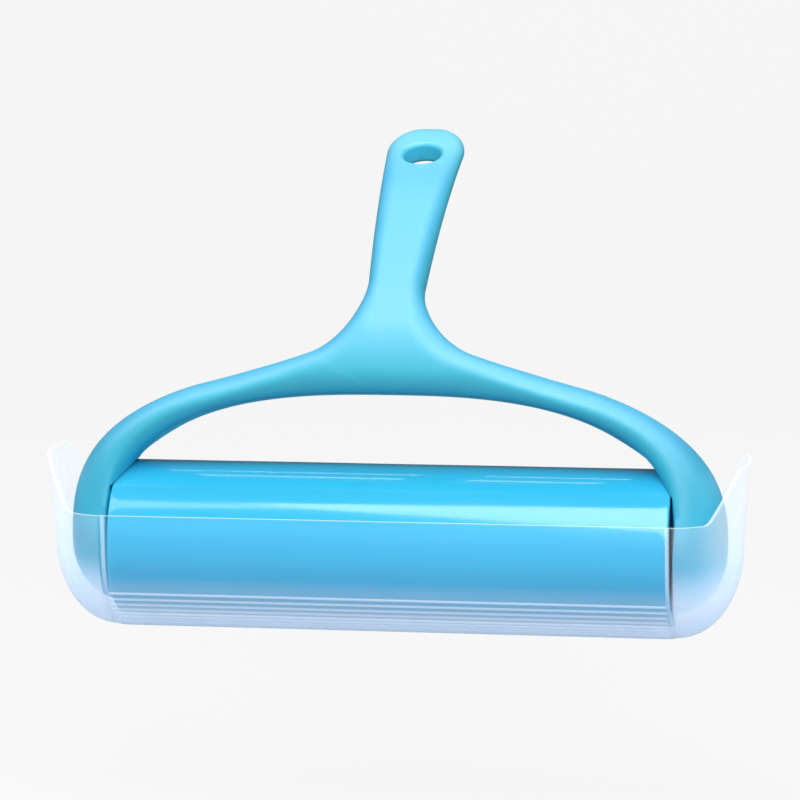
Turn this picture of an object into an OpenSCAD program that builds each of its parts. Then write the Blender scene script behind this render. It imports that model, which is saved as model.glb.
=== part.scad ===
// Washable lint roller: a gel-covered roller carried between the two arms of a
// T-shaped handle, with a translucent snap-on dust cover below it.
// Frame: origin on the roller axis at mid length, X along the axis,
// +Y towards the back (the grip leans that way), +Z up. Millimetres.

/* [Roller] */
// Outer diameter of the sticky sleeve
roller_d = 50; // [44:1:52]
// Length of the sticky roller over its end plugs
roller_len = 179; // [140:1:179]
// Thickness of the sticky gel sleeve
sleeve_wall = 2.4; // [1.5:0.1:3]
// Wall of the plastic core tube
tube_wall = 2.2; // [1.6:0.1:3]
// Diameter of the steel axle pins
pin_d = 4; // [3:0.5:5]

/* [Handle] */
// Half the inside width between the arms
arm_gap = 90.5; // [90.5:0.5:100]
// Depth of the domed arm ends, along the roller axis
dome_w = 16; // [12:0.5:16]
// Radius of the domed arm ends
dome_r = 20.5; // [18:0.5:22]
// Height of the underside of the arch above the axis
arch_in = 50.3; // [46:0.5:56]
// Height that the outer curve of the arch would reach without the neck
arch_out = 58.5; // [57:0.5:62]
// How far the arch stands in front of the roller axis
arch_forward = 6.5; // [3:0.5:8]
// Radius of the backward bend of the neck
neck_r = 25; // [22:1:40]
// Lean of the grip from vertical just above the neck, in degrees
neck_turn = 48; // [30:1:60]
// Radius of the long backward curve of the grip
grip_r = 223; // [180:1:400]
// Half width of the grip at its narrowest point
grip_thin = 9.1; // [8:0.1:11]
// Half width of the grip at its eye
grip_wide = 12.9; // [12:0.1:15]
// Diameter of the hanging hole
eye_d = 12.4; // [8:0.1:14]
// Wall of the hollow handle shells
shell_wall = 2.2; // [1.8:0.1:3]

/* [Dust cover] */
// Half length of the straight part of the trough
cover_straight = 91; // [88:0.5:91]
// Outer radius of the trough under the roller
cover_r = 28.5; // [28:0.1:32]
// Wall of the cover
cover_wall = 0.9; // [0.8:0.1:1.6]
// How far the rounded ends stand out past the straight trough
cover_end = 20.5; // [20:0.5:26]
// Height of the long rims above the roller axis
rim_z = 12.8; // [8:0.2:18]
// Height of the raised end tabs above the roller axis
ear_z = 28.7; // [22:0.2:34]
// Half width of a raised end tab at its top
ear_half = 11; // [6:0.1:14]
// Half width of a raised end tab where it meets the rim
ear_base = 23.4; // [18:0.1:26]
// How far the tops of the end tabs lean outwards
ear_flare = 2.6; // [0:0.1:4]
// Number of grip ribs under the trough
rib_count = 26; // [12:2:26]

/* [Hidden] */
$fn = 96;

handle_blue = [0.36, 0.78, 0.91];
roller_blue = [0.22, 0.72, 0.92];
cover_milk = [0.80, 0.88, 0.97, 0.45];

// Fits and small sizes of the running gear
run_fit = 0.05;
roller_r = roller_d / 2;
tube_r = roller_r - sleeve_wall;
bore_r = tube_r - tube_wall;
flange_t = 2;
spigot_len = 12;
plug_wall = 2;
hub_r = 7;
bush_r = 4.5;
bush_len = 10;
bush_flange_r = 6.5;
bush_flange_t = 1;
washer_r = 6;
washer_t = 0.8;
pin_in = 14;
pin_out = 12;
boss_r = 5.5;
recess_fit = 0.6;
end_x = roller_len / 2;

// Handle outline, measured along the handle's middle surface from the axis
arm_pow = 2.5;
arch_pow = 2.7;
arm_out = arm_gap + dome_w;
neck_z = 57;
neck_len = neck_r * neck_turn * PI / 180;
fillet_x = 63;
fillet_sag = 1.6;
shallow_steps = 5;
fillet_r = 26;
grip_z = 87;
eye_mid = 156;
eye_end = 15;
eye_z = 150.3;
split_z = 130;
arch_half = 6.8;
neck_half = 6.5;
eye_half = 3.8;
shift_from = 8;
shift_to = 48;

function smooth(t) = let (u = min(max(t, 0), 1)) u * u * (3 - 2 * u);
function mix(a, b, t) = a + (b - a) * t;

// Middle surface of the handle in the YZ plane: straight arms, a bend at the
// neck, then the long curve of the grip
function lean(s) =
    s < neck_z ? 0
    : s < neck_z + neck_len ? (s - neck_z) / neck_r * 180 / PI
    : neck_turn + (s - neck_z - neck_len) / grip_r * 180 / PI;
function mid_y(s) =
    s < neck_z ? -arch_forward * smooth((s - shift_from) / (shift_to - shift_from))
    : s < neck_z + neck_len ? -arch_forward + neck_r * (1 - cos(lean(s)))
    : mid_y(neck_z + neck_len - 0.001) + grip_r * (cos(neck_turn) - cos(lean(s)));
function mid_z(s) =
    s < neck_z ? s
    : s < neck_z + neck_len ? neck_z + neck_r * sin(lean(s))
    : mid_z(neck_z + neck_len - 0.001) + grip_r * (sin(lean(s)) - sin(neck_turn));

// A point at x across, s along and n in front of the middle surface
function place(x, s, n) = [x, mid_y(s) - n * cos(lean(s)), mid_z(s) + n * sin(lean(s))];

// Half thickness of the handle along s
function half_t(s) =
    s < neck_z ? mix(dome_r, arch_half, smooth(s / shift_to))
    : s < grip_z ? mix(arch_half, neck_half, (s - neck_z) / (grip_z - neck_z))
    : mix(neck_half, eye_half, min((s - grip_z) / (eye_z - grip_z), 1));

// A superellipse point: half sizes a and b, power p, at angle q
function oval(a, b, p, q) = [a * pow(cos(q), 2 / p), b * pow(sin(q), 2 / p)];

// The handle is a fan of ribs from the inside edge (or the centre line) to the
// outside edge. One rib is [inner x, inner s, outer x, outer s, half
// thickness, thickness at the inside edge as a fraction, ridge position].
ridge = 0.42;
edge_in = 0.3;
edge_round = 9;
join_q = let (c = pow(fillet_x / arm_out, arm_pow / 2)) acos(c);
dome_ribs = [for (q = [-90 : 15 : -15]) [
    arm_gap, dome_r * sin(q), arm_gap + dome_w * cos(q), dome_r * sin(q),
    dome_r * cos(q), 1, 0.02]];
arm_ribs = [for (k = [0 : 12]) let (
    q = join_q * pow(k / 12, 1.2),
    i = oval(arm_gap, arch_in, arch_pow, q),
    o = oval(arm_out, arch_out, arm_pow, q),
    t = smooth(i[1] / (0.8 * arch_in))
) [i[0], i[1], o[0], o[1], half_t((i[1] + o[1]) / 2), mix(1, edge_in, t), mix(0.02, ridge, t)]];

// The neck: a long shallow curve, then a tight one that meets the grip
tight_q = 68;
tight_x = grip_thin + fillet_r * (1 - cos(tight_q));
tight_z = grip_z - fillet_r * sin(tight_q);
join_p = oval(arm_out, arch_out, arm_pow, join_q);
inner_join = oval(arm_gap, arch_in, arch_pow, join_q)[0];
shallow_ribs = [for (k = [1 : shallow_steps]) let (
    t = k / shallow_steps,
    x = mix(fillet_x, tight_x, t),
    z = mix(join_p[1], tight_z, t) - fillet_sag * t * (1 - t),
    xi = inner_join * (1 - t),
    zi = arch_in * pow(1 - pow(xi / arm_gap, arch_pow), 1 / arch_pow)
) [xi, zi, x, z, arch_half, edge_in, ridge]];
tight_ribs = [for (k = [1 : 6]) let (
    t = k / 6,
    q = tight_q * (1 - t),
    z = grip_z - fillet_r * sin(q),
    zi = mix(arch_in, grip_z, pow(t, 1.2))
) [0, zi, grip_thin + fillet_r * (1 - cos(q)), z, half_t(z), edge_in, ridge]];
grip_ribs = [for (k = [1 : 5]) let (
    s = mix(grip_z, split_z, k / 5),
    t = (s - grip_z) / (eye_mid - grip_z)
) [0, s, mix(grip_thin, grip_wide, t), s, half_t(s), edge_in, ridge]];
eye_ribs = [for (k = [1 : 4]) let (
    s = mix(split_z, eye_mid, k / 4),
    t = (s - grip_z) / (eye_mid - grip_z)
) [0, s, mix(grip_thin, grip_wide, t), s, half_t(s), edge_in, ridge]];
tip_ribs = [for (q = [18 : 18 : 90]) [
    0, eye_mid + eye_end * sin(q), grip_wide * cos(q), eye_mid + eye_end * sin(q),
    eye_half * pow(max(cos(q), 0), 0.6), edge_in, ridge]];
ribs = concat(dome_ribs, arm_ribs, shallow_ribs, tight_ribs, grip_ribs, eye_ribs, tip_ribs);
arch_rib = len(dome_ribs) + len(arm_ribs) + len(shallow_ribs) - 1;
split_rib = arch_rib + len(tight_ribs) + len(grip_ribs);
hollow_from = 3;
hollow_to = split_rib - 2;

// The inside edge of the handle, and the distance of a point p from it
inside_edge = [for (i = [0 : arch_rib]) [ribs[i][0], ribs[i][1]]];
function from_line(p, a, b) =
    let (d = b - a, t = min(max((p - a) * d / (d * d), 0), 1)) norm(p - a - t * d);
function from_inside(p) = min([for (k = [1 : arch_rib]) from_line(p, inside_edge[k - 1], inside_edge[k])]);

// Section of a rib at the share v of its length: rounded towards both edges
cuts = [0, 0.12, 0.3, 0.5, 0.7, 0.86, 0.96, 1];
round_pow = 2.3;
function rounded(u) = pow(1 - pow(1 - min(u, 1), round_pow), 1 / round_pow);
function bulge(r, v) = let (p = [mix(r[0], r[2], v), mix(r[1], r[3], v)])
    mix(r[5], 1, rounded(from_inside(p) / edge_round)) * rounded((1 - v) / (1 - r[6]));
half_table = [for (r = ribs) [for (v = cuts) r[4] * bulge(r, v)]];
function half_at(i, j) = half_table[i][j];
function hollow_at(i, j) =
    i < hollow_from || i > hollow_to || cuts[j] > 0.75 || (cuts[j] < 0.25 && i < arch_rib + 3)
    ? 0 : max(half_at(i, j) - shell_wall, 0);
function rib_point(side, i, j, n) = let (r = ribs[i], v = cuts[j])
    place(side * mix(r[0], r[2], v) + 0, mix(r[1], r[3], v), n);

// The front shell reaches from its outer face down to the hollow; past the
// split it carries the whole thickness, so that the eye is in one piece
function front_n(i, j, layer) =
    layer == 0 ? half_at(i, j) : i > split_rib ? 0 - half_at(i, j) : hollow_at(i, j);
function rear_n(i, j, layer) =
    layer == 1 ? 0 - half_at(i, j) : i > split_rib ? 0 - half_at(i, j) : 0 - hollow_at(i, j);
function shell_n(front, i, j, layer) = front ? front_n(i, j, layer) : rear_n(i, j, layer);

// Closed skin over the fan of ribs, left and right halves together
module rib_skin(front) {
    last = front ? len(ribs) - 1 : split_rib + 1;
    cols = len(cuts);
    points = [for (side = [-1, 1], layer = [0, 1], i = [0 : last], j = [0 : cols - 1])
        rib_point(side, i, j, shell_n(front, i, j, layer))];
    function id(side, layer, i, j) = ((side * 2 + layer) * (last + 1) + i) * cols + j;
    quads = concat(
        [for (side = [0, 1], layer = [0, 1], i = [0 : last - 1], j = [0 : cols - 2])
            let (q = [id(side, layer, i, j), id(side, layer, i, j + 1),
                      id(side, layer, i + 1, j + 1), id(side, layer, i + 1, j)])
            (side + layer) % 2 == 0 ? q : [q[0], q[3], q[2], q[1]]],
        [for (side = [0, 1], i = [0 : arch_rib - 1])
            let (q = [id(side, 0, i, 0), id(side, 0, i + 1, 0),
                      id(side, 1, i + 1, 0), id(side, 1, i, 0)])
            side == 0 ? q : [q[0], q[3], q[2], q[1]]]
    );
    halves = [for (q = quads) each [[q[0], q[1], q[2]], [q[0], q[2], q[3]]]];
    faces = [for (t = halves) if (points[t[0]] != points[t[1]]
        && points[t[1]] != points[t[2]] && points[t[2]] != points[t[0]]) t];
    polyhedron(points = points, faces = faces);
}

// Cylinder along X from x0 to x1
module rod_x(r, x0, x1) {
    translate([x0, 0, 0])
        rotate([0, 90, 0])
            cylinder(r = r, h = x1 - x0);
}

// The hanging hole, square to the middle surface of the grip
module eye_bore() {
    translate(place(0, eye_z, 0))
        rotate([90 - lean(eye_z), 0, 0])
            cylinder(d = eye_d, h = 40, center = true);
}

// Half a boss round each pin: dir is -1 for the front half, 1 for the rear
module pin_bosses(dir) {
    for (side = [-1, 1])
        intersection() {
            rod_x(boss_r, side > 0 ? arm_gap : -arm_gap - pin_out - 1,
                side > 0 ? arm_gap + pin_out + 1 : -arm_gap);
            translate([-arm_out, dir > 0 ? 0 : -boss_r - 1, -boss_r - 1])
                cube([2 * arm_out, boss_r + 1, 2 * boss_r + 2]);
        }
}

// Everything that the running gear takes out of the handle
module gear_space() {
    rod_x(roller_r + recess_fit, -arm_gap, arm_gap);
    for (side = [-1, 1])
        rod_x(pin_d / 2, side > 0 ? 0 : -arm_gap - pin_out, side > 0 ? arm_gap + pin_out : 0);
}

module handle_front_shell() {
    color(handle_blue)
        difference() {
            union() {
                rib_skin(true);
                pin_bosses(-1);
            }
            gear_space();
            eye_bore();
        }
}

module handle_rear_shell() {
    color(handle_blue)
        difference() {
            union() {
                rib_skin(false);
                pin_bosses(1);
            }
            gear_space();
        }
}

// Steel pin held between the shells, reaching in through the bush
module axle_pin(side) {
    color("silver")
        mirror([side > 0 ? 0 : 1, 0, 0])
            rod_x(pin_d / 2, end_x - pin_in, arm_gap + pin_out);
}

module thrust_washer(side) {
    color("white")
        mirror([side > 0 ? 0 : 1, 0, 0])
            difference() {
                rod_x(washer_r, arm_gap - washer_t, arm_gap);
                rod_x(pin_d / 2, arm_gap - 2 * washer_t, arm_gap + 1);
            }
}

module core_tube() {
    color("whitesmoke")
        difference() {
            rod_x(tube_r, -end_x + flange_t, end_x - flange_t);
            rod_x(bore_r, -end_x, end_x);
        }
}

module sticky_sleeve() {
    color(roller_blue)
        difference() {
            rod_x(roller_r, -end_x, end_x);
            rod_x(tube_r, -end_x - 1, end_x + 1);
        }
}

// Plug pressed into the end of the tube, with a seat for the bush
module end_plug(side) {
    color(roller_blue)
        mirror([side > 0 ? 0 : 1, 0, 0])
            difference() {
                union() {
                    rod_x(tube_r, end_x - flange_t, end_x);
                    rod_x(bore_r, end_x - flange_t - spigot_len, end_x);
                }
                difference() {
                    rod_x(bore_r - plug_wall, end_x - flange_t - spigot_len - 1, end_x - flange_t);
                    rod_x(hub_r, end_x - flange_t - spigot_len - 1, end_x);
                }
                rod_x(bush_r, end_x - flange_t - spigot_len - 1, end_x + 1);
                rod_x(bush_flange_r, end_x - bush_flange_t, end_x + 1);
            }
}

// Flanged plastic bush that turns on the steel pin
module bush(side) {
    color("ivory")
        mirror([side > 0 ? 0 : 1, 0, 0])
            difference() {
                union() {
                    rod_x(bush_r, end_x - bush_len, end_x);
                    rod_x(bush_flange_r, end_x - bush_flange_t, end_x);
                }
                rod_x(pin_d / 2 + run_fit, end_x - bush_len - 1, end_x + 1);
            }
}

// Solid of the cover: half round below, upright above, rounded at both ends.
// inset pulls every face in by the wall
module cover_solid(inset) {
    r = cover_r - inset;
    e = cover_end - inset;
    top = ear_z + 5;
    steps = 10;
    arc = [for (k = [0 : steps]) [e * sin(90 * k / steps), r * cos(90 * k / steps)]];
    // Lower half, turned about the roller axis
    rotate([0, 90, 0])
        rotate_extrude(angle = 360)
            polygon(concat(
                [for (p = arc) [p[1], cover_straight + p[0]]],
                [for (k = [steps : -1 : 0]) [arc[k][1], -cover_straight - arc[k][0]]]
            ));
    // Upright walls, leaning outwards at the ends
    linear_extrude(top, scale = [1 + ear_flare / (cover_straight + cover_end) * top / ear_z, 1], slices = 1)
        polygon(concat(
            [for (p = arc) [cover_straight + p[0], -p[1]]],
            [for (k = [steps : -1 : 0]) [cover_straight + arc[k][0], arc[k][1]]],
            [for (p = arc) [-cover_straight - p[0], p[1]]],
            [for (k = [steps : -1 : 0]) [-cover_straight - arc[k][0], -arc[k][1]]]
        ));
}

// Height of the cover's edge where its wall is a from the middle plane: a
// raised tab whose shoulders curve down and blend into the long rim
function rim_at(a) =
    let (
        blend = 1.6,
        fall = pow(max((a - ear_half) / (ear_base - ear_half), 0), 1.3),
        rise = (ear_z - rim_z) * (1 - fall)
    )
    rim_z + (rise > blend ? rise : rise < -blend ? 0 : pow(rise + blend, 2) / (4 * blend));

// Everything above the edge of the cover
module above_rim() {
    steps = 14;
    reach = ear_base + 2;
    for (dir = [-1, 1])
        rotate([90, 0, 90])
            linear_extrude(300, center = true)
                polygon(concat(
                    [for (k = [0 : steps]) let (a = mix(ear_half, reach, k / steps)) [dir * a, rim_at(a)]],
                    [[dir * 60, rim_z], [dir * 60, ear_z + 20], [0, ear_z + 20], [0, ear_z]]
                ));
}

module cover_ribs() {
    rib_w = 0.9;
    rib_h = 0.45;
    first = 27.3;
    rib_len = 2 * cover_straight - 0.6;
    for (k = [0 : rib_count - 1])
        rotate([mix(first, 180 - first, k / (rib_count - 1)), 0, 0])
            translate([-rib_len / 2, -cover_r - rib_h, -rib_w / 2])
                cube([rib_len, rib_h + cover_wall / 2, rib_w]);
}

module dust_cover() {
    color(cover_milk)
        union() {
            difference() {
                cover_solid(0);
                cover_solid(cover_wall);
                above_rim();
            }
            cover_ribs();
        }
}

handle_front_shell();
handle_rear_shell();
axle_pin(-1);  // left_axle_pin
axle_pin(1);  // right_axle_pin
thrust_washer(-1);  // left_thrust_washer
thrust_washer(1);  // right_thrust_washer
core_tube();
sticky_sleeve();
end_plug(-1);  // left_end_plug
end_plug(1);  // right_end_plug
bush(-1);  // left_bush
bush(1);  // right_bush
dust_cover();
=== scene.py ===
"""Looks of the washable lint roller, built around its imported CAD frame.

Lengths are written in millimetres and turned into metres by MM. The frame has
its origin on the roller's axis, X along the axis, +Y to the back, +Z up.
"""
import math

import bmesh
import bpy
import numpy as np
from mathutils import Matrix, Vector


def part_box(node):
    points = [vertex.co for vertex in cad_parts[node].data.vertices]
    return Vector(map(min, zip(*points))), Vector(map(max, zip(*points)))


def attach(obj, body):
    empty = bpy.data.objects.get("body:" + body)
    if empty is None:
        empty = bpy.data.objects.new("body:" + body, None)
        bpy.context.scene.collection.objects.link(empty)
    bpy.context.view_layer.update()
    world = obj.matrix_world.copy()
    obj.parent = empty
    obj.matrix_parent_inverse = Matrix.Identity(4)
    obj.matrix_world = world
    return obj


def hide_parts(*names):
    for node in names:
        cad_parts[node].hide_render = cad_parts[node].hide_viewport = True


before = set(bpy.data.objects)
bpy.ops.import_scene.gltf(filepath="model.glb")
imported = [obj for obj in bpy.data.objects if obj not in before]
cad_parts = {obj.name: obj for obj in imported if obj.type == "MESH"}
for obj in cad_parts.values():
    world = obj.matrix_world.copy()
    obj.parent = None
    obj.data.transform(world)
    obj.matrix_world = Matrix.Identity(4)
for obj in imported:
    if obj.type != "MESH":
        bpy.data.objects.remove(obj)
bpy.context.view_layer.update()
MM = 0.001


# ---------------------------------------------------------------- dimensions

sleeve_lo, sleeve_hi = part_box("sticky_sleeve")

ROLLER_R = (sleeve_hi.z - sleeve_lo.z) / 2 / MM
SLEEVE_X = sleeve_hi.x / MM
COVER_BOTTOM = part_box("dust_cover")[0].z / MM

# Handle: arms, domed ends, arch, neck and grip, as in the CAD source. S is the
# distance up the middle surface of the handle, which is Z as far as the neck.
ARM_GAP = 90.5
DOME_W = 16.0
DOME_R = 20.5
ARM_OUT = ARM_GAP + DOME_W
ARCH_IN = 50.3
ARCH_OUT = 58.5
ARM_POW = 2.5
ARCH_POW = 2.7
ARCH_FORWARD = 6.5
NECK_Z = 57.0
NECK_R = 25.0
NECK_TURN = math.radians(48)
GRIP_R = 223.0
GRIP_Z = 87.0
GRIP_THIN = 9.1
GRIP_WIDE = 12.9
EYE_MID = 156.0
EYE_END = 15.0
EYE_Z = 150.3
EYE_R = 6.2
SPLIT_Z = 130.0
FILLET_X = 63.0
FILLET_SAG = 1.6
FILLET_R = 26.0
TIGHT = math.radians(68)
ARCH_HALF = 6.8
NECK_HALF = 6.5
EYE_HALF = 3.8
SHIFT_FROM = 8.0
SHIFT_TO = 48.0

# Cross-sections of the handle: the share of a rib taken by the rounding of its
# inner edge, the widest roundings, and the powers of their superellipses
RIDGE = 0.42
CRISP = 0.4
ROUND_IN = 9.0
ROUND_OUT = 8.0
GRIP_ROUND = 0.62
DOME_POW = 2.0
RIDGE_POW = 2.2
TIP_POW = 0.6
SLIVER = 0.01

# The back shell's lip under the arch, and the parting groove
LIP = 0.022
LIP_HALF = 0.5
LIP_FROM = 24.0
LIP_RISE = 14.0
GROOVE_W = 0.16
GROOVE_D = 0.2

# The hanging hole's soft mouth, and the arms' clearance round the roller
MOUTH = 1.8
MOUTH_BEHIND = 0.1
CUTTER_REACH = 12.0
ROLLER_CLEAR = 0.6

# Steps along the handle and across it
DOME_STEPS = 14
ARM_STEPS = 56
SHALLOW_STEPS = 22
TIGHT_STEPS = 34
GRIP_STEPS = 26
EYE_STEPS = 16
TIP_STEPS = 16
ROUND_STEPS = 9
FLAT_STEPS = 5
OUT_STEPS = 12

# Gel sleeve
GEL_WALL = 2.4
GEL_SOFT = 0.6
GEL_PROUD = 0.3
GEL_WAVE = 0.03
GEL_WAVES = 3
GEL_STEPS = 72

# Cover
COVER_R = 28.5
COVER_WALL = 0.9
COVER_END = 20.5
COVER_STRAIGHT = 91.0
RIM_Z = 12.8
EAR_Z = 28.7
EAR_HALF = 11.0
EAR_BASE = 23.4
EAR_FLARE = 2.6
FLARE_POW = 1.4
RIM_BLEND = 1.6
RIM_POW = 1.3
RIB_COUNT = 26
RIB_FIRST = math.radians(27.3)
RIB_PITCH = (math.pi - 2 * RIB_FIRST) / (RIB_COUNT - 1)
RIB_W = 0.95
RIB_H = 0.5
WELT_X = 90.0
WELT_HALF = 0.8
WELT_H = 0.28
COVER_TRAVEL = 70.0

# Cloudiness of the cover's mouldings
HAZE_RIM = 0.4
# The welts' cloudiness is partly a painted highlight line, beside their real raised bead
HAZE_WELT_AND_HIGHLIGHT = 0.38
HAZE_RIB = 0.52
HAZE_END = 0.08
HAZE_END_LOW = 0.54
HAZE_END_OUT = 0.18
HAZE_ABOVE_RIBS = 0.2
HAZE_DOWN = 0.3

# The floor: how far it is below the pulled cover, its brightness that doesn't
# come from the lights, and the share of light that it throws back up
FLOOR_CLEAR = 1.0
FLOOR_GLOW = 0.875
FLOOR_BOUNCE = 0.17


def smooth(t):
    u = min(max(t, 0.0), 1.0)
    return u * u * (3 - 2 * u)


def mix(a, b, t):
    return a + (b - a) * t


# -------------------------------------------------------------------- meshes

def new_object(name, verts, faces, material, smooth_angle=35):
    """A mesh object from millimetre vertices, smooth-shaded up to an angle."""
    mesh = bpy.data.meshes.new(name)
    mesh.from_pydata([tuple(c * MM for c in v) for v in verts], [], faces)
    mesh.materials.append(material)
    obj = bpy.data.objects.new(name, mesh)
    bpy.context.scene.collection.objects.link(obj)
    clean(obj)
    shade(obj, smooth_angle)
    return obj


def clean(obj, distance=0.002):
    """Welds doubled vertices, drops collapsed faces and points faces outwards."""
    bm = bmesh.new()
    bm.from_mesh(obj.data)
    bmesh.ops.remove_doubles(bm, verts=bm.verts, dist=distance * MM)
    bmesh.ops.dissolve_degenerate(bm, edges=bm.edges, dist=distance * MM)
    bmesh.ops.recalc_face_normals(bm, faces=bm.faces)
    bm.to_mesh(obj.data)
    bm.free()


def shade(obj, angle):
    obj.data.shade_smooth()
    obj.data.set_sharp_from_angle(angle=math.radians(angle))


def lathe_x(profile, segments=128):
    """Vertices and faces of a closed profile of (x, radius) turned about X."""
    verts, faces = [], []
    count = len(profile)
    for k in range(segments):
        a = 2 * math.pi * k / segments
        verts += [(x, -r * math.cos(a), r * math.sin(a)) for x, r in profile]
    for k in range(segments):
        m = (k + 1) % segments
        for j in range(count):
            n = (j + 1) % count
            faces.append((k * count + j, k * count + n, m * count + n, m * count + j))
    return verts, faces


def cut_with(obj, cutter):
    """Subtracts cutter from obj and removes the cutter."""
    mod = obj.modifiers.new("cut", "BOOLEAN")
    mod.operation = "DIFFERENCE"
    mod.solver = "EXACT"
    mod.object = cutter
    graph = bpy.context.evaluated_depsgraph_get()
    mesh = bpy.data.meshes.new_from_object(obj.evaluated_get(graph))
    obj.modifiers.remove(mod)
    obj.data = mesh
    bpy.data.objects.remove(cutter)


# ----------------------------------------------------------------- materials

NOISE_SPAN = (0.3, 0.7)


def node_material(name):
    mat = bpy.data.materials.new(name)
    mat.use_nodes = True
    nodes = mat.node_tree.nodes
    links = mat.node_tree.links
    return mat, nodes, links, nodes["Principled BSDF"]


def srgb(text):
    """Linear colour from a #RRGGBB string."""
    parts = [int(text[i:i + 2], 16) / 255 for i in (1, 3, 5)]
    return [c / 12.92 if c <= 0.04045 else ((c + 0.055) / 1.055) ** 2.4
            for c in parts] + [1.0]


def add_noise(nodes, links, scale, detail=4.0, roughness=0.55, stretch=(1, 1, 1)):
    """Object-space noise of about scale cells per metre."""
    coord = nodes.new("ShaderNodeTexCoord")
    mapping = nodes.new("ShaderNodeMapping")
    mapping.inputs["Scale"].default_value = stretch
    noise = nodes.new("ShaderNodeTexNoise")
    noise.inputs["Scale"].default_value = scale
    noise.inputs["Detail"].default_value = detail
    noise.inputs["Roughness"].default_value = roughness
    links.new(coord.outputs["Object"], mapping.inputs["Vector"])
    links.new(mapping.outputs["Vector"], noise.inputs["Vector"])
    return noise


def map_range(nodes, links, socket, span, result=(0.0, 1.0), kind="LINEAR"):
    """A value taken from one span to another, and held inside it."""
    node = nodes.new("ShaderNodeMapRange")
    node.interpolation_type = kind
    for name, value in zip(("From Min", "From Max", "To Min", "To Max"), (*span, *result)):
        node.inputs[name].default_value = value
    links.new(socket, node.inputs["Value"])
    return node.outputs["Result"]


def remap(nodes, links, noise, lo, hi):
    """The useful middle of a noise, spread from lo to hi."""
    return map_range(nodes, links, noise.outputs["Fac"], NOISE_SPAN, (lo, hi))


def colour_ramp(nodes, links, socket, stops, interpolation="LINEAR"):
    """A colour ramp through (place, colour) stops."""
    ramp = nodes.new("ShaderNodeValToRGB")
    ramp.color_ramp.interpolation = interpolation
    elements = ramp.color_ramp.elements
    while len(elements) < len(stops):
        elements.new(0.5)
    for element, (spot, colour) in zip(elements, stops):
        element.position = spot
        element.color = colour
    links.new(socket, ramp.inputs["Fac"])
    return ramp.outputs["Color"]


def tint(nodes, links, noise, dark, light):
    """A noise as a drift between two colours."""
    return colour_ramp(nodes, links, noise.outputs["Fac"], tuple(zip(NOISE_SPAN, (dark, light))))


def fill(links, inputs, values):
    """Links each value that is a socket to its input, and sets the others."""
    for slot, value in zip(inputs, values):
        if isinstance(value, bpy.types.NodeSocket):
            links.new(value, slot)
        else:
            slot.default_value = value


def mix_colours(nodes, links, share, first, second):
    node = nodes.new("ShaderNodeMixRGB")
    fill(links, node.inputs, (share, first, second))
    return node.outputs["Color"]


def compute(nodes, links, operation, first, second):
    node = nodes.new("ShaderNodeMath")
    node.operation = operation
    fill(links, node.inputs, (first, second))
    return node.outputs["Value"]


def mix_shaders(nodes, links, share, first, second):
    node = nodes.new("ShaderNodeMixShader")
    fill(links, node.inputs, (share, first, second))
    return node.outputs["Shader"]


def bump(nodes, links, bsdf, noise, strength, height_mm, previous=None):
    """Bumps from a noise, on top of a previous bump if there is one."""
    node = nodes.new("ShaderNodeBump")
    node.inputs["Strength"].default_value = strength
    node.inputs["Distance"].default_value = height_mm * MM
    links.new(noise.outputs["Fac"], node.inputs["Height"])
    if previous is not None:
        links.new(previous, node.inputs["Normal"])
    links.new(node.outputs["Normal"], bsdf.inputs["Normal"])
    return node.outputs["Normal"]


def moulded_plastic(name, dark, light, rough, grain_mm=0.25, grain_height=0.012):
    """Injection-moulded plastic: fine spark grain, and faint flow marks in its
    colour and gloss."""
    mat, nodes, links, bsdf = node_material(name)
    flow = add_noise(nodes, links, 45, 3, 0.5, (0.5, 1, 1))
    links.new(tint(nodes, links, flow, srgb(dark), srgb(light)), bsdf.inputs["Base Color"])
    wear = add_noise(nodes, links, 400, 5)
    links.new(remap(nodes, links, wear, rough - 0.05, rough + 0.06), bsdf.inputs["Roughness"])
    grain = add_noise(nodes, links, 1 / (grain_mm * MM), 2)
    bump(nodes, links, bsdf, grain, 0.35, grain_height)
    return mat


def component(nodes, links, vector, axis):
    split = nodes.new("ShaderNodeSeparateXYZ")
    links.new(vector, split.inputs["Vector"])
    return split.outputs[axis]


def ramp_between(nodes, links, vector, axis, lo, hi):
    """0 to 1, smoothly, as one component of a vector goes from lo to hi."""
    return map_range(nodes, links, component(nodes, links, vector, axis), (lo, hi),
                     kind="SMOOTHSTEP")


def handle_plastic():
    """The handle's satin blue, with painted light and shade: painted shade deeper down the arms,
    painted light paler up the arch and on the faces that look up, and a painted sheen palest where the grip
    thins towards its tip."""
    mat = moulded_plastic("handle_plastic", "#50BAE2", "#58C0E8", 0.48)
    nodes, links = mat.node_tree.nodes, mat.node_tree.links
    bsdf = nodes["Principled BSDF"]
    bsdf.inputs["IOR"].default_value = 1.85
    painted_light_crown = bsdf.inputs["Base Color"].links[0].from_socket
    spot = nodes.new("ShaderNodeTexCoord").outputs["Object"]
    normal = nodes.new("ShaderNodeNewGeometry").outputs["Normal"]
    # Painted shade: the side colour is deeper blue down the arms and paler up the arch.
    painted_light_up_arms = ramp_between(nodes, links, spot, "Z", 0.012, 0.055)
    painted_shade_sides = mix_colours(nodes, links, painted_light_up_arms, srgb("#0CBADC"), srgb("#4CD8F6"))
    # Painted sheen: the colour of the up-facing faces goes paler towards the grip's tip.
    painted_sheen_to_tip = ramp_between(nodes, links, spot, "Y", 0.045, 0.078)
    painted_light_crown = mix_colours(nodes, links, painted_sheen_to_tip, painted_light_crown, srgb("#74D2E8"))
    # Painted light: faces that look up take the paler colour, the others the shaded one.
    painted_light_facing_up = ramp_between(nodes, links, normal, "Z", -0.05, 0.8)
    links.new(mix_colours(nodes, links, painted_light_facing_up, painted_shade_sides, painted_light_crown), bsdf.inputs["Base Color"])
    return mat


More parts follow.
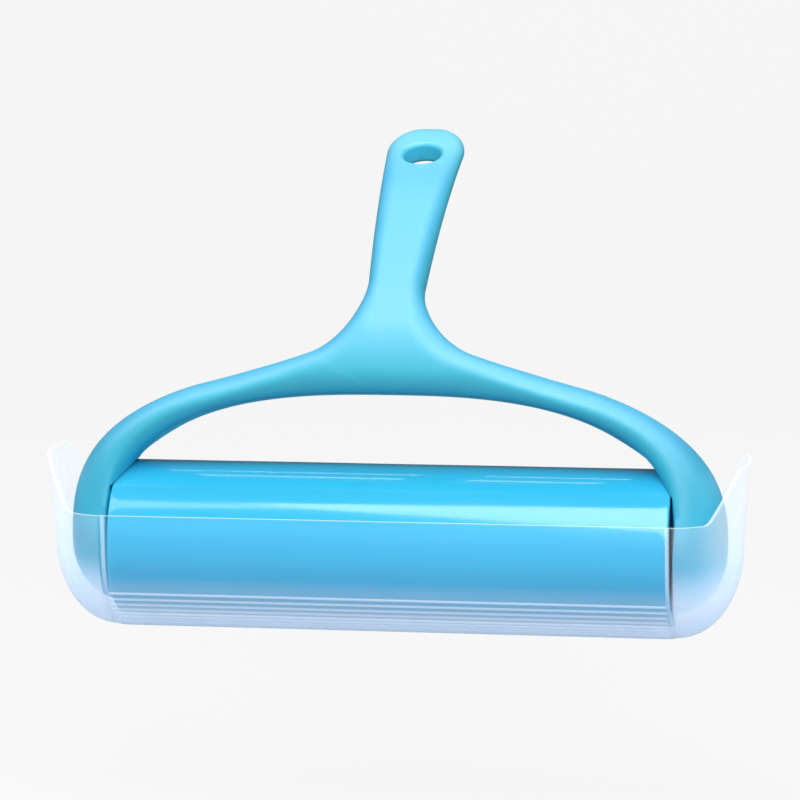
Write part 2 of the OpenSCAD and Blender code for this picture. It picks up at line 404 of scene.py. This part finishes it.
def sticky_gel():
    """Clear glossy gel over blue: slow waves, fine pits, and a few bits of dust."""
    mat, nodes, links, bsdf = node_material("sticky_gel")
    depth = add_noise(nodes, links, 14, 2, 0.5, (0.3, 1, 1))
    base = tint(nodes, links, depth, srgb("#33BBE6"), srgb("#3BC2EC"))
    # Dust sits at the middle of the few cells whose random colour is highest
    dust = nodes.new("ShaderNodeTexVoronoi")
    dust.inputs["Scale"].default_value = 75
    coord = nodes.new("ShaderNodeTexCoord")
    links.new(coord.outputs["Object"], dust.inputs["Vector"])
    speck = map_range(nodes, links, dust.outputs["Distance"], (0.012, 0.022), (0.45, 0.0))
    rare = compute(nodes, links, "GREATER_THAN", dust.outputs["Color"], 0.82)
    shown = compute(nodes, links, "MULTIPLY", speck, rare)
    links.new(mix_colours(nodes, links, shown, base, srgb("#2B5668")), bsdf.inputs["Base Color"])
    smear = add_noise(nodes, links, 60, 4, 0.6, (0.25, 1, 1))
    links.new(remap(nodes, links, smear, 0.10, 0.20), bsdf.inputs["Roughness"])
    waves = add_noise(nodes, links, 55, 2, 0.4, (0.35, 1, 1))
    first = bump(nodes, links, bsdf, waves, 0.25, 0.05)
    pits = add_noise(nodes, links, 1500, 3)
    bump(nodes, links, bsdf, pits, 0.2, 0.01, first)
    bsdf.inputs["Specular IOR Level"].default_value = 0.6
    bsdf.inputs["Coat Weight"].default_value = 0.7
    bsdf.inputs["Coat Roughness"].default_value = 0.06
    bsdf.inputs["Subsurface Weight"].default_value = 0.15
    bsdf.inputs["Subsurface Radius"].default_value = (0.2, 0.6, 0.9)
    bsdf.inputs["Subsurface Scale"].default_value = 1.5 * MM
    return mat


# The cover's painted glow, an emission darker at its bottom and brighter up to its rim, and its
# cloudiness from where it is seen face-on to where it is seen edge-on
COVER_PAINTED_GLOW = ((0.0, (0.40, 0.48, 0.58, 1)), (0.33, (0.56, 0.61, 0.67, 1)),
              (0.7, (0.86, 0.94, 1.0, 1)), (1.0, (1.0, 0.92, 0.84, 1)))
COVER_SLANT = ((0.0, 0.02), (0.2, 0.035), (0.36, 0.09), (0.5, 0.25), (0.74, 0.62), (0.92, 0.9))


def milky_cover():
    """Thin milky polypropylene: clear face-on, cloudy at a slant, and given a painted glow by
    emission, darker at the bottom as painted shade and brighter towards its rim."""
    mat, nodes, links, bsdf = node_material("milky_cover")
    streaks = add_noise(nodes, links, 30, 3, 0.5, (0.4, 1, 1))
    links.new(tint(nodes, links, streaks, srgb("#E9F0FC"), srgb("#F4F8FF")),
              bsdf.inputs["Base Color"])
    where = nodes.new("ShaderNodeTexCoord").outputs["Object"]
    height = map_range(nodes, links, component(nodes, links, where, "Z"),
                       (-COVER_R * MM, RIM_Z * MM))
    # Painted glow: emission by height, darker at the bottom as painted shade, bright up to the rim.
    painted_glow = colour_ramp(nodes, links, height, COVER_PAINTED_GLOW)
    links.new(painted_glow, bsdf.inputs["Emission Color"])
    bsdf.inputs["Emission Strength"].default_value = 1.0
    gloss = add_noise(nodes, links, 350, 4)
    links.new(remap(nodes, links, gloss, 0.26, 0.38), bsdf.inputs["Roughness"])
    grain = add_noise(nodes, links, 2500, 2)
    bump(nodes, links, bsdf, grain, 0.15, 0.01)
    clear = nodes.new("ShaderNodeBsdfTransparent")
    clear.inputs["Color"].default_value = (0.95, 0.985, 1.0, 1)
    glow = nodes.new("ShaderNodeBsdfTranslucent")
    glow.inputs["Color"].default_value = srgb("#EEF3FF")
    body = mix_shaders(nodes, links, 0.4, bsdf.outputs["BSDF"], glow.outputs["BSDF"])
    facing = nodes.new("ShaderNodeLayerWeight")
    facing.inputs["Blend"].default_value = 0.5
    stops = [(spot, (value, value, value, 1)) for spot, value in COVER_SLANT]
    slant = colour_ramp(nodes, links, facing.outputs["Facing"], stops, "B_SPLINE")
    haze = nodes.new("ShaderNodeAttribute")
    haze.attribute_name = "haze"
    cloud = compute(nodes, links, "MAXIMUM", slant, haze.outputs["Fac"])
    links.new(mix_shaders(nodes, links, cloud, clear.outputs["BSDF"], body),
              nodes["Material Output"].inputs["Surface"])
    return mat


def ground_steel():
    """Centreless-ground steel: fine rings round the pin."""
    mat, nodes, links, bsdf = node_material("ground_steel")
    rings = add_noise(nodes, links, 900, 3, 0.6, (8, 1, 1))
    links.new(tint(nodes, links, rings, srgb("#9A9DA2"), srgb("#C9CCD0")),
              bsdf.inputs["Base Color"])
    links.new(remap(nodes, links, rings, 0.22, 0.4), bsdf.inputs["Roughness"])
    bump(nodes, links, bsdf, rings, 0.3, 0.004)
    bsdf.inputs["Metallic"].default_value = 1.0
    return mat


def pale_floor():
    """Pale paper sweep. It shows evenly lit to the camera, and throws little
    light back up at the object."""
    mat, nodes, links, bsdf = node_material("pale_floor")
    mottle = add_noise(nodes, links, 3, 2)
    seen = nodes.new("ShaderNodeLightPath").outputs["Is Camera Ray"]
    paper = tint(nodes, links, mottle, (0.1, 0.1, 0.1, 1), (0.105, 0.105, 0.105, 1))
    bounce = (FLOOR_BOUNCE, FLOOR_BOUNCE, FLOOR_BOUNCE, 1)
    links.new(mix_colours(nodes, links, seen, bounce, paper), bsdf.inputs["Base Color"])
    bsdf.inputs["Roughness"].default_value = 0.9
    bsdf.inputs["Specular IOR Level"].default_value = 0.0
    bsdf.inputs["Emission Color"].default_value = (1, 1, 1, 1)
    links.new(compute(nodes, links, "MULTIPLY", seen, FLOOR_GLOW),
              bsdf.inputs["Emission Strength"])
    return mat


# -------------------------------------------------------------------- handle

def lean(s):
    if s < NECK_Z:
        return 0.0
    if s < NECK_Z + NECK_R * NECK_TURN:
        return (s - NECK_Z) / NECK_R
    return NECK_TURN + (s - NECK_Z - NECK_R * NECK_TURN) / GRIP_R


def middle(s):
    """(y, z) of the handle's middle surface at s along it."""
    a = lean(s)
    if s < NECK_Z:
        return -ARCH_FORWARD * smooth((s - SHIFT_FROM) / (SHIFT_TO - SHIFT_FROM)), s
    if a <= NECK_TURN:
        return -ARCH_FORWARD + NECK_R * (1 - math.cos(a)), NECK_Z + NECK_R * math.sin(a)
    y0, z0 = middle(NECK_Z + NECK_R * NECK_TURN)
    return (y0 + GRIP_R * (math.cos(NECK_TURN) - math.cos(a)),
            z0 + GRIP_R * (math.sin(a) - math.sin(NECK_TURN)))


def place(x, s, n):
    """Point x across, s along and n in front of the middle surface."""
    y, z = middle(s)
    a = lean(s)
    return x, y - n * math.cos(a), z + n * math.sin(a)


def half_t(s):
    if s < NECK_Z:
        return mix(DOME_R, ARCH_HALF, smooth(s / SHIFT_TO))
    if s < GRIP_Z:
        return mix(ARCH_HALF, NECK_HALF, (s - NECK_Z) / (GRIP_Z - NECK_Z))
    return mix(NECK_HALF, EYE_HALF, min((s - GRIP_Z) / (EYE_Z - GRIP_Z), 1))


def oval(a, b, power, q):
    c, s = max(math.cos(q), 0), max(math.sin(q), 0)
    return a * c ** (2 / power), b * s ** (2 / power)


def grip_half(s):
    return mix(GRIP_THIN, GRIP_WIDE, (s - GRIP_Z) / (EYE_MID - GRIP_Z))


def handle_ribs():
    """The handle as a fan of ribs from the inside edge, or the centre line, to
    the outside edge: (inner, outer, half thickness, inner rounding width,
    outer rounding width, rounding power). Returns the ribs, the index of the
    rib at the middle of the arch, and the index where the back shell ends."""
    ribs = []

    def add(inner, outer, half, round_in, round_out, power=RIDGE_POW):
        ribs.append((inner, outer, half, round_in, round_out, power))

    def add_grip(s):
        width = grip_half(s)
        add((0.0, s), (width, s), half_t(s), ROUND_IN, GRIP_ROUND * width)

    for k in range(DOME_STEPS):
        q = math.radians(-90 + 90 * k / DOME_STEPS)
        z = DOME_R * math.sin(q)
        width = DOME_W * math.cos(q)
        add((ARM_GAP, z), (ARM_GAP + width, z), DOME_R * math.cos(q),
            min(CRISP, width * 0.3), width, DOME_POW)

    # The arms, with ribs closest together at the bottom
    join = math.acos((FILLET_X / ARM_OUT) ** (ARM_POW / 2))
    for k in range(ARM_STEPS + 1):
        q = join * (k / ARM_STEPS) ** 1.2
        inner = oval(ARM_GAP, ARCH_IN, ARCH_POW, q)
        outer = oval(ARM_OUT, ARCH_OUT, ARM_POW, q)
        t = smooth(inner[1] / (0.8 * ARCH_IN))
        length = math.dist(inner, outer)
        add(inner, outer, half_t((inner[1] + outer[1]) / 2), mix(CRISP, RIDGE * length, t),
            length * mix(1, 1 - RIDGE, t), mix(DOME_POW, RIDGE_POW, t))

    # The arch, up to where the tight fillet of the neck begins
    join_out = oval(ARM_OUT, ARCH_OUT, ARM_POW, join)
    join_in = oval(ARM_GAP, ARCH_IN, ARCH_POW, join)[0]
    tight_x = GRIP_THIN + FILLET_R * (1 - math.cos(TIGHT))
    tight_z = GRIP_Z - FILLET_R * math.sin(TIGHT)
    for k in range(1, SHALLOW_STEPS + 1):
        t = k / SHALLOW_STEPS
        x = join_in * (1 - t)
        inner = (x, ARCH_IN * (1 - (x / ARM_GAP) ** ARCH_POW) ** (1 / ARCH_POW))
        outer = (mix(FILLET_X, tight_x, t),
                 mix(join_out[1], tight_z, t) - FILLET_SAG * t * (1 - t))
        length = math.dist(inner, outer)
        add(inner, outer, ARCH_HALF, min(RIDGE * length, ROUND_IN),
            min((1 - RIDGE) * length, ROUND_OUT))
    arch_index = len(ribs) - 1

    # The fillet of the neck
    for k in range(1, TIGHT_STEPS + 1):
        t = k / TIGHT_STEPS
        q = TIGHT * (1 - t)
        outer = (GRIP_THIN + FILLET_R * (1 - math.cos(q)), GRIP_Z - FILLET_R * math.sin(q))
        add((0.0, mix(ARCH_IN, GRIP_Z, t ** 1.9)), outer, half_t(outer[1]), ROUND_IN,
            min(GRIP_ROUND * outer[0], ROUND_OUT))

    # The grip, its end with the eye, and its tip
    for k in range(1, GRIP_STEPS + 1):
        add_grip(mix(GRIP_Z, SPLIT_Z, k / GRIP_STEPS))
    split_index = len(ribs) - 1
    for k in range(1, EYE_STEPS + 1):
        add_grip(mix(SPLIT_Z, EYE_MID, k / EYE_STEPS))
    for k in range(1, TIP_STEPS + 1):
        q = math.pi / 2 * k / TIP_STEPS
        s = EYE_MID + EYE_END * math.sin(q)
        half = EYE_HALF * max(math.cos(q), 0) ** TIP_POW
        add((0.0, s), (GRIP_WIDE * math.cos(q), s), half, ROUND_IN,
            GRIP_ROUND * GRIP_WIDE * math.cos(q) + SLIVER)
    return ribs, arch_index, split_index


def rounding(distance, width, power):
    """0 at the edge, 1 from width inwards, along a superellipse."""
    u = min(distance / max(width, 1e-6), 1)
    return max(1 - (1 - u) ** power, 0) ** (1 / power)


def lipped(rib):
    """The rib with its inner end moved in, so that the back shell stands a
    little proud of the front one under the arch."""
    (x, s), *rest = rib
    shrink = 1 - LIP * smooth((s - LIP_FROM) / LIP_RISE)
    return ((x * shrink, s * shrink), *rest)


def arch_distance(x, s, edge):
    """Distance from (x, s) to the underside of the arch."""
    return float(np.sqrt(((edge - (x, s)) ** 2).sum(1)).min())


def arch_edge(ribs):
    """Points along the underside of the arch, from arm to arm."""
    half = [inner for inner, *rest in ribs]
    edge = np.array([(-x, s) for x, s in half] + half[::-1])
    return np.concatenate([edge[:-1] + (edge[1:] - edge[:-1]) * f for f in (0, 0.25, 0.5, 0.75)])


def spots_across(length, w_in, w_out, power):
    """Distances from the inner edge of a rib at which its section is drawn."""
    def quarter(count, turn):
        return [1 - turn(math.pi / 2 * k / count) ** (2 / power) for k in range(count)]

    spots = [w_in * u for u in quarter(ROUND_STEPS, math.cos)]
    spots += [mix(w_in, length - w_out, k / FLAT_STEPS) for k in range(FLAT_STEPS)]
    spots += [length - w_out * u for u in quarter(OUT_STEPS, math.sin)]
    return spots + [length]


def handle_shell(front):
    """Vertices and faces of one closed shell of the handle. The front shell
    runs from its outer face to the middle surface, and past the split it
    holds the whole thickness, so the eye is in one piece."""
    ribs, arch, split = handle_ribs()
    last = len(ribs) - 1 if front else split + 1
    sign = 1 if front else -1
    if not front:
        ribs = [lipped(r) if i <= arch else r for i, r in enumerate(ribs)]
    edge = arch_edge(ribs[:arch + 1])

    def section(i):
        """(share of the rib, height) from the inner edge to the outer one."""
        inner, outer, half, round_in, round_out, power = ribs[i]
        length = max(math.dist(inner, outer), 1e-6)
        w_in = min(round_in, length * 0.5)
        w_out = min(round_out, length - w_in)
        points = []
        for d in spots_across(length, w_in, w_out, power):
            v = d / length
            x, s = mix(inner[0], outer[0], v), mix(inner[1], outer[1], v)
            inside = d if i < DOME_STEPS else arch_distance(x, s, edge) if s < GRIP_Z else 99
            height = rounding(inside, round_in, power)
            if not front and s > 0:
                height = mix(LIP_HALF * smooth(s / 40), 1, height) * rounding(inside, 0.5, 2)
            points.append((v, height * half * rounding(length - d, w_out, power)))
        return points, length

    def inside_row(i, row, length):
        """The inside face: the middle surface, or the back of the eye."""
        if front and i > split:
            return [(x, s, -n) for x, s, n in row]
        if not front and i == last:
            return row
        inner, outer = ribs[i][:2]
        inset = min(grooves[i] / length, 0.3)
        x0, s0 = side * mix(inner[0], outer[0], inset), mix(inner[1], outer[1], inset)
        x1, s1 = side * mix(inner[0], outer[0], 1 - inset), mix(inner[1], outer[1], 1 - inset)
        if i >= arch:
            x0, s0 = 0.0, max(inner[1], ribs[arch][0][1] + GROOVE_D)
        shares = [j / (len(row) - 1) for j in range(len(row))]
        return [(mix(x0, x1, t), mix(s0, s1, t), 0.0) for t in shares]

    verts, faces = [], []
    sections = [section(i) for i in range(last + 1)]
    grooves = [min(GROOVE_D, ribs[i][2]) if i <= split else 0 for i in range(last + 1)]
    columns = len(sections[0][0])
    for side in (-1, 1):
        top, low = [], []
        for i, (points, length) in enumerate(sections):
            inner, outer = ribs[i][:2]
            least = GROOVE_W if grooves[i] and i > 0 else 0
            row = [(side * mix(inner[0], outer[0], v), mix(inner[1], outer[1], v),
                    sign * max(height, least)) for v, height in points]
            for start, line in ((top, row), (low, inside_row(i, row, length))):
                start.append(len(verts))
                verts += [place(*p) for p in line]
        for i in range(last):
            for j in range(columns - 1):
                faces.append((top[i] + j, top[i] + j + 1, top[i + 1] + j + 1, top[i + 1] + j))
                faces.append((low[i] + j, low[i + 1] + j, low[i + 1] + j + 1, low[i] + j + 1))
            j = columns - 1
            faces.append((top[i] + j, low[i] + j, low[i + 1] + j, top[i + 1] + j))
            if i < arch:
                faces.append((top[i], top[i + 1], low[i + 1], low[i]))
    return verts, faces


def roller_cutter(plastic):
    """The space that the arms leave for the roller."""
    radius = ROLLER_R + ROLLER_CLEAR
    profile = [(-ARM_GAP, 0.0001), (-ARM_GAP, radius), (ARM_GAP, radius), (ARM_GAP, 0.0001)]
    verts, faces = lathe_x(profile, 160)
    return new_object("cutter", verts, faces, plastic, 30)


def eye_cutter(plastic):
    """The hanging hole with softly rounded mouths."""
    edge = EYE_HALF - MOUTH + MOUTH_BEHIND
    arc = [(edge + MOUTH * math.sin(a), EYE_R + MOUTH * (1 - math.cos(a)))
           for a in [math.radians(10 * k) for k in range(9)]]
    arc.append((CUTTER_REACH, arc[-1][1] + 3))
    profile = [(-n, r) for n, r in reversed(arc)] + arc
    profile = [(-CUTTER_REACH, 0.0001)] + profile + [(CUTTER_REACH, 0.0001)]
    verts, faces = lathe_x(profile, 96)
    # The lathe runs along X; the hole runs along the grip's own normal
    origin = Vector((0, *middle(EYE_Z)))
    turn = Matrix.Rotation(lean(EYE_Z), 3, "X").inverted()
    placed = [tuple(origin + turn @ Vector((y, -x, z))) for x, y, z in verts]
    return new_object("cutter", placed, faces, plastic, 30)


def build_handle(plastic):
    pieces = []
    for name, node, front in (("handle_front", "handle_front_shell", True),
                              ("handle_rear", "handle_rear_shell", False)):
        verts, faces = handle_shell(front)
        obj = new_object(name, verts, faces, plastic, 50)
        cut_with(obj, roller_cutter(plastic))
        if front:
            cut_with(obj, eye_cutter(plastic))
        clean(obj)
        shade(obj, 40)
        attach(obj, "handle")
        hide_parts(node)
        pieces.append(obj)
    return pieces


# -------------------------------------------------------------------- roller

def build_sleeve(gel):
    """Gel tube with soft ends and a very slight wave along it."""
    inner = ROLLER_R - GEL_WALL
    end_x = SLEEVE_X + GEL_PROUD
    straight = end_x - GEL_SOFT
    arc = [math.radians(90 * k / 8) for k in range(9)]
    right = [(straight + GEL_SOFT * math.sin(a), ROLLER_R - GEL_SOFT + GEL_SOFT * math.cos(a))
             for a in arc]
    left = [(-x, r) for x, r in reversed(right)]
    shares = [k / GEL_STEPS for k in range(1, GEL_STEPS)]
    run = [(mix(-straight, straight, t),
            ROLLER_R - GEL_WAVE * (1 - math.cos(2 * math.pi * GEL_WAVES * t)) / 2) for t in shares]
    profile = left + run + right + [(end_x, inner), (-end_x, inner)]
    verts, faces = lathe_x(profile, 192)
    obj = new_object("sticky_gel_sleeve", verts, faces, gel, 50)
    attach(obj, "roller")
    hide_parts("sticky_sleeve")
    return obj


# --------------------------------------------------------------------- cover

def rim_height(y):
    """Height of the cover's edge where its wall is y from the middle plane: a
    tab whose shoulders curve down and blend into the long rim."""
    fall = max((abs(y) - EAR_HALF) / (EAR_BASE - EAR_HALF), 0) ** RIM_POW
    rise = (EAR_Z - RIM_Z) * (1 - fall)
    if rise > RIM_BLEND:
        return RIM_Z + rise
    if rise < -RIM_BLEND:
        return RIM_Z
    return RIM_Z + (rise + RIM_BLEND) ** 2 / (4 * RIM_BLEND)


def cover_stations():
    """(straight x, angle round the end) along one long line of the cover, from
    the middle of one end to the middle of the other."""
    turn_steps = 40
    ends = [math.pi / 2 * k / turn_steps for k in range(turn_steps + 1)]
    left = [(-COVER_STRAIGHT, a) for a in reversed(ends)]
    near_end = [88.0] + [WELT_X + WELT_HALF * f for f in (-1, -0.6, 0, 0.6, 1)]
    xs = [-x for x in reversed(near_end)] + [mix(-80, 80, k / 16) for k in range(17)] + near_end
    return left + [(x, 0.0) for x in xs] + [(COVER_STRAIGHT, a) for a in ends]


def rib_height(angle, x):
    """Height of the grip ribs at an angle below the front horizontal."""
    k = round((angle - RIB_FIRST) / RIB_PITCH)
    if k < 0 or k >= RIB_COUNT:
        return 0.0
    off = abs(angle - RIB_FIRST - k * RIB_PITCH) * COVER_R / (RIB_W / 2)
    ends = smooth(WELT_X - abs(x))
    return RIB_H * ends * max(1 - off ** 2.5, 0) if off < 1 else 0.0


def cover_lines():
    """Long lines of the cover from the front rim, under it, to the back rim:
    ("front" or "back", share of the height) or ("under", angle)."""
    wall = [k / 14 for k in range(15)]
    across = RIB_W / 2 / COVER_R
    angles = [RIB_FIRST * k / 10 for k in range(1, 10)]
    for k in range(RIB_COUNT):
        crest = RIB_FIRST + k * RIB_PITCH
        angles += [crest + across * f for f in (-1, -0.8, -0.45, 0, 0.45, 0.8, 1)]
    angles += [math.pi - RIB_FIRST * k / 10 for k in range(9, 0, -1)]
    return ([("front", 1 - t) for t in wall] + [("under", a) for a in angles]
            + [("back", t) for t in wall])


def welt(x, turn):
    """Height of the raised line where the trough meets a rounded end."""
    off = (abs(x) + COVER_END * math.sin(turn) - WELT_X) / WELT_HALF
    return WELT_H * max(1 - off * off, 0)


def cover_point(kind, value, x, turn, inset):
    """A point of the cover's outer face, or of its inner face with an inset."""
    r = COVER_R - inset + (welt(x, turn) if inset == 0 else 0)
    e = COVER_END - inset
    side = -1 if x < 0 else 1
    if kind == "under":
        rr = r + (rib_height(value, x) if inset == 0 and turn == 0 else 0)
        rr *= math.cos(turn)
        return x + side * e * math.sin(turn), -rr * math.cos(value), -rr * math.sin(value)
    y = (-1 if kind == "front" else 1) * r * math.cos(turn)
    z = value * rim_height(y)
    flare = EAR_FLARE * math.sin(turn) ** 2 * (max(z, 0) / EAR_Z) ** FLARE_POW
    return x + side * (e * math.sin(turn) + flare), y, z


def haze_at(x, y, z):
    """Cloudiness of the moulding: high on the ribs, the welts and the rim, and
    growing towards the bottom of the rounded ends. On the welts it is partly a painted highlight: the
    cloudier line shows pale under the painted glow."""
    if z > rim_height(y) + 0.02:
        return HAZE_RIM
    cap = abs(x) - COVER_STRAIGHT
    if cap > 0.05:
        low = smooth((-z + 1) / 20)
        out = smooth((cap - 6) / 13)
        return HAZE_END + HAZE_END_LOW * low + HAZE_END_OUT * out
    outside = math.hypot(y, z) - COVER_R if z < 0 else abs(y) - COVER_R
    # Painted highlight: besides the raised bead, the welt's extra cloudiness shows as a pale line under the
    # painted glow.
    if abs(x) > WELT_X - WELT_HALF and outside > 0.05:
        return HAZE_WELT_AND_HIGHLIGHT
    if outside < -0.1:
        return 0.0
    if z > -COVER_R * math.sin(RIB_FIRST) + 0.3:
        return HAZE_ABOVE_RIBS * smooth((-z - 5) / 8)
    if outside > 0.05:
        return HAZE_RIB
    below = smooth((-z / COVER_R - math.sin(RIB_FIRST)) / 0.5)
    return HAZE_ABOVE_RIBS + HAZE_DOWN * below


# The rim's rounding: (share of the wall inwards, share of the wall upwards)
RIM_BEAD = ((0.25, 0.16), (0.6, 0.22), (0.95, 0.16))


def build_cover(milk):
    """One closed skin: outer face, rounded rim and inner face."""
    stations = cover_stations()
    lines = cover_lines()

    def row(kind, value, inset=0.0, lift=0.0):
        points = [cover_point(kind, value, x, a, inset * COVER_WALL) for x, a in stations]
        return [(x, y, z + lift * COVER_WALL) for x, y, z in points]

    sheets = [row(*line) for line in lines]
    sheets += [row("back", 1.0, *spot) for spot in RIM_BEAD]
    sheets += [row(*line, 1.0) for line in reversed(lines)]
    sheets += [row("front", 1.0, *spot) for spot in reversed(RIM_BEAD)]
    width = len(stations)
    verts = [p for row in sheets for p in row]
    faces = []
    for i in range(len(sheets)):
        m = (i + 1) % len(sheets)
        for j in range(width - 1):
            faces.append((i * width + j, i * width + j + 1, m * width + j + 1, m * width + j))
    obj = new_object("dust_cover_shell", verts, faces, milk, 60)
    haze = obj.data.attributes.new("haze", "FLOAT", "POINT")
    for vertex, value in zip(obj.data.vertices, haze.data):
        value.value = haze_at(*(c / MM for c in vertex.co))
    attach(obj, "dust_cover")
    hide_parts("dust_cover")


# --------------------------------------------------------------------- stage

def build_floor(material):
    """Pale floor that sweeps up behind the object, low enough for the cover to
    be pulled off above it."""
    floor_z = COVER_BOTTOM - COVER_TRAVEL - FLOOR_CLEAR
    front, back, wide, sweep, tall = -2600, 900, 5000, 500, 2600
    outline = [(front, 0)] + [(back + sweep * math.sin(a), sweep * (1 - math.cos(a)))
                              for a in [math.radians(6 * k) for k in range(16)]]
    outline.append((back + sweep, tall))
    verts, faces = [], []
    for x in (-wide, wide):
        verts += [(x, y, floor_z + z) for y, z in outline]
    count = len(outline)
    for k in range(count - 1):
        faces.append((k, k + 1, count + k + 1, count + k))
    obj = new_object("floor", verts, faces, material, 60)


def area_light(name, azimuth, elevation, distance, size, power, tilt=0.0):
    """Soft box aimed at the object. Azimuth 0 is the front, positive to the right."""
    data = bpy.data.lights.new(name, "AREA")
    data.shape = "RECTANGLE"
    data.size, data.size_y = size
    data.energy = power
    obj = bpy.data.objects.new(name, data)
    a, e = math.radians(azimuth), math.radians(elevation)
    spot = Vector((math.sin(a) * math.cos(e), -math.cos(a) * math.cos(e), math.sin(e))) * distance
    obj.location = LIGHT_TARGET + spot
    turn = (-spot).to_track_quat("-Z", "Y").to_matrix()
    obj.rotation_euler = (turn @ Matrix.Rotation(math.radians(tilt), 3, "Z")).to_euler()
    bpy.context.scene.collection.objects.link(obj)
    return obj


def only_for(objects, *lights):
    """Makes the lights fall on these objects alone."""
    takers = bpy.data.collections.new("takers")
    for obj in objects:
        takers.objects.link(obj)
    for light in lights:
        light.light_linking.receiver_collection = takers


# Soft boxes: azimuth, elevation, distance, (width, height), power, tilt
LIGHT_TARGET = Vector((0, 0, 0.02))
LIGHTS = {
    "key": (12, 42, 1.2, (0.55, 1.44), 11, 16.4),
    "low_front": (-8, 22, 1.5, (1.3, 0.6), 5.6),
    "left": (-55, 45, 1.3, (0.8, 0.8), 4.6),
    "right": (60, 38, 1.4, (0.6, 0.6), 2.1),
    "back_strip": (-8, 118, 1.2, (1.1, 0.05), 0.4, 1),
    "back_strip_high": (-4, 130, 1.2, (0.9, 0.03), 0.2, -1),
    "overhead": (-20, 92, 1.1, (1.0, 0.8), 5.4),
    "right_fill": (80, 40, 1.2, (0.6, 0.8), 1.5),
}


def build_lights(handle, sleeve):
    """A tall soft box in front, softer light from the sides, thin strips at the
    back for the streaks along the top of the roller, two soft boxes that only
    the handle takes, and a low one for the roller behind the cover."""
    lights = {name: area_light(name, *values) for name, values in LIGHTS.items()}
    lights["low_front"].visible_glossy = False
    only_for(handle, lights["overhead"], lights["right_fill"])
    only_for([sleeve], lights["low_front"])
    world = bpy.data.worlds.new("studio")
    world.use_nodes = True
    background = world.node_tree.nodes["Background"]
    background.inputs["Color"].default_value = (0.93, 0.96, 1, 1)
    background.inputs["Strength"].default_value = 0.16
    bpy.context.scene.world = world


def build_camera():
    """A long lens a little above the roller and to its right."""
    azimuth, elevation, roll = math.radians(10.0), math.radians(11.07), math.radians(-0.99)
    distance, lens = 1.2, 167.9
    right_shift, up_shift = 0.0018, 0.0455
    right = Vector((math.cos(azimuth), math.sin(azimuth), 0))
    up = Vector((-math.sin(azimuth) * math.sin(elevation), math.cos(azimuth) * math.sin(elevation),
                 math.cos(elevation)))
    ahead = up.cross(right)
    rolled_right = right * math.cos(roll) + up * math.sin(roll)
    rolled_up = up * math.cos(roll) - right * math.sin(roll)
    data = bpy.data.cameras.new("camera")
    data.lens = lens
    data.sensor_width = 36
    data.clip_end = 20
    obj = bpy.data.objects.new("camera", data)
    rotation = Matrix((rolled_right, rolled_up, -ahead)).transposed().to_4x4()
    obj.matrix_world = Matrix.Translation(right * right_shift + up * up_shift - ahead * distance) @ rotation
    bpy.context.scene.collection.objects.link(obj)
    bpy.context.scene.camera = obj


def paint(node, material):
    """Gives a CAD node its material."""
    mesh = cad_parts[node].data
    mesh.materials.clear()
    mesh.materials.append(material)


# --------------------------------------------------------------------- build

plug_plastic = moulded_plastic("plug_plastic", "#34B0E2", "#3CB6E6", 0.25)
tube_plastic = moulded_plastic("tube_plastic", "#DDE8EE", "#E9F1F5", 0.45)
bush_plastic = moulded_plastic("bush_plastic", "#E6E1D2", "#EFEBDF", 0.38)
washer_plastic = moulded_plastic("washer_plastic", "#EDEDEA", "#F4F4F1", 0.38)
steel = ground_steel()

for side in ("left", "right"):
    paint(side + "_axle_pin", steel)
    paint(side + "_thrust_washer", washer_plastic)
    paint(side + "_bush", bush_plastic)
    paint(side + "_end_plug", plug_plastic)
paint("core_tube", tube_plastic)

handle = build_handle(handle_plastic())
sleeve = build_sleeve(sticky_gel())
build_cover(milky_cover())
build_floor(pale_floor())
build_lights(handle, sleeve)
build_camera()
bpy.context.scene.view_settings.view_transform = "Standard"
